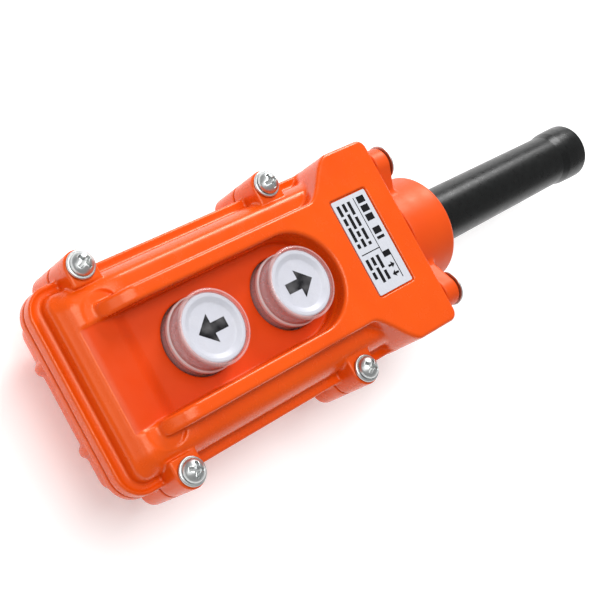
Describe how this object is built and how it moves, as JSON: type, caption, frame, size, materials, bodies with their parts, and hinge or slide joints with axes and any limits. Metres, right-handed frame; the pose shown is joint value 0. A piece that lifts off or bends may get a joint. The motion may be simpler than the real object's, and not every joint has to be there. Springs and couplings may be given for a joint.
{
  "type": "hoist pendant push-button station",
  "caption": "Hand-held pendant push-button station of an electric hoist: split ribbed housing, booted up and down buttons, neck collar and rubber cable sleeve.",
  "frame": {"origin": "under the middle of the outline, on the plane of the back rails that the station lies on", "axes": "+X across the body, to the right seen from the buttons with the cable end up; +Y along the body towards the cable sleeve; +Z out of the button face"},
  "size_m": [0.069, 0.2166, 0.0463],
  "materials": {
    "housing": "satin moulded, fine texture",
    "sleeve_rubber": "smooth, soft sheen",
    "boot_clear": "clear flexible, glossy",
    "cap_white": "satin",
    "zinc_steel": "bright zinc plated",
    "brass": "plain",
    "label": "printed film",
    "block_black": "moulded",
    "gasket": "matte",
    "nylon": "natural nylon"
  },
  "bodies": {
    "station": {"front_cover": "housing", "back_casing": "housing", "neck_collar": "housing", "joint_gasket": "gasket", "rating_label": "label", "cover_screw_lower_left": "zinc_steel", "cover_washer_lower_left": "zinc_steel", "cover_insert_lower_left": "brass", "cover_screw_lower_right": "zinc_steel", "cover_washer_lower_right": "zinc_steel", "cover_insert_lower_right": "brass", "cover_screw_upper_left": "zinc_steel", "cover_washer_upper_left": "zinc_steel", "cover_insert_upper_left": "brass", "cover_screw_upper_right": "zinc_steel", "cover_washer_upper_right": "zinc_steel", "cover_insert_upper_right": "brass", "collar_screw_front_left": "zinc_steel", "collar_insert_front_left": "brass", "collar_screw_front_right": "zinc_steel", "collar_insert_front_right": "brass", "collar_screw_back_left": "zinc_steel", "collar_insert_back_left": "brass", "collar_screw_back_right": "zinc_steel", "collar_insert_back_right": "brass", "cable_sleeve": "sleeve_rubber", "up_boot": "boot_clear", "up_boot_ring": "block_black", "up_contact_left": "brass", "up_contact_right": "brass", "up_spring": "zinc_steel", "up_terminal_left": "zinc_steel", "up_terminal_right": "zinc_steel", "down_boot": "boot_clear", "down_boot_ring": "block_black", "down_contact_left": "brass", "down_contact_right": "brass", "down_spring": "zinc_steel", "down_terminal_left": "zinc_steel", "down_terminal_right": "zinc_steel", "contact_block": "block_black", "block_screw_1": "zinc_steel", "block_screw_2": "zinc_steel", "clamp_saddle": "zinc_steel", "clamp_screw_left": "zinc_steel", "clamp_screw_right": "zinc_steel"},
    "up_button": {"up_cap": "cap_white", "up_plunger": "nylon", "up_bridge": "brass"},
    "down_button": {"down_cap": "cap_white", "down_plunger": "nylon", "down_bridge": "brass"}
  },
  "joints": [
    {"name": "up_press", "type": "slide", "parent": "station", "child": "up_button", "axis": [0, 0, -1], "range_m": [0, 0.0032], "stiffness_N_per_m": 800, "springref_m": -0.002, "deforming": ["up_boot", "up_spring"]},
    {"name": "down_press", "type": "slide", "parent": "station", "child": "down_button", "axis": [0, 0, -1], "range_m": [0, 0.0032], "stiffness_N_per_m": 800, "springref_m": -0.002, "deforming": ["down_boot", "down_spring"]}
  ]
}
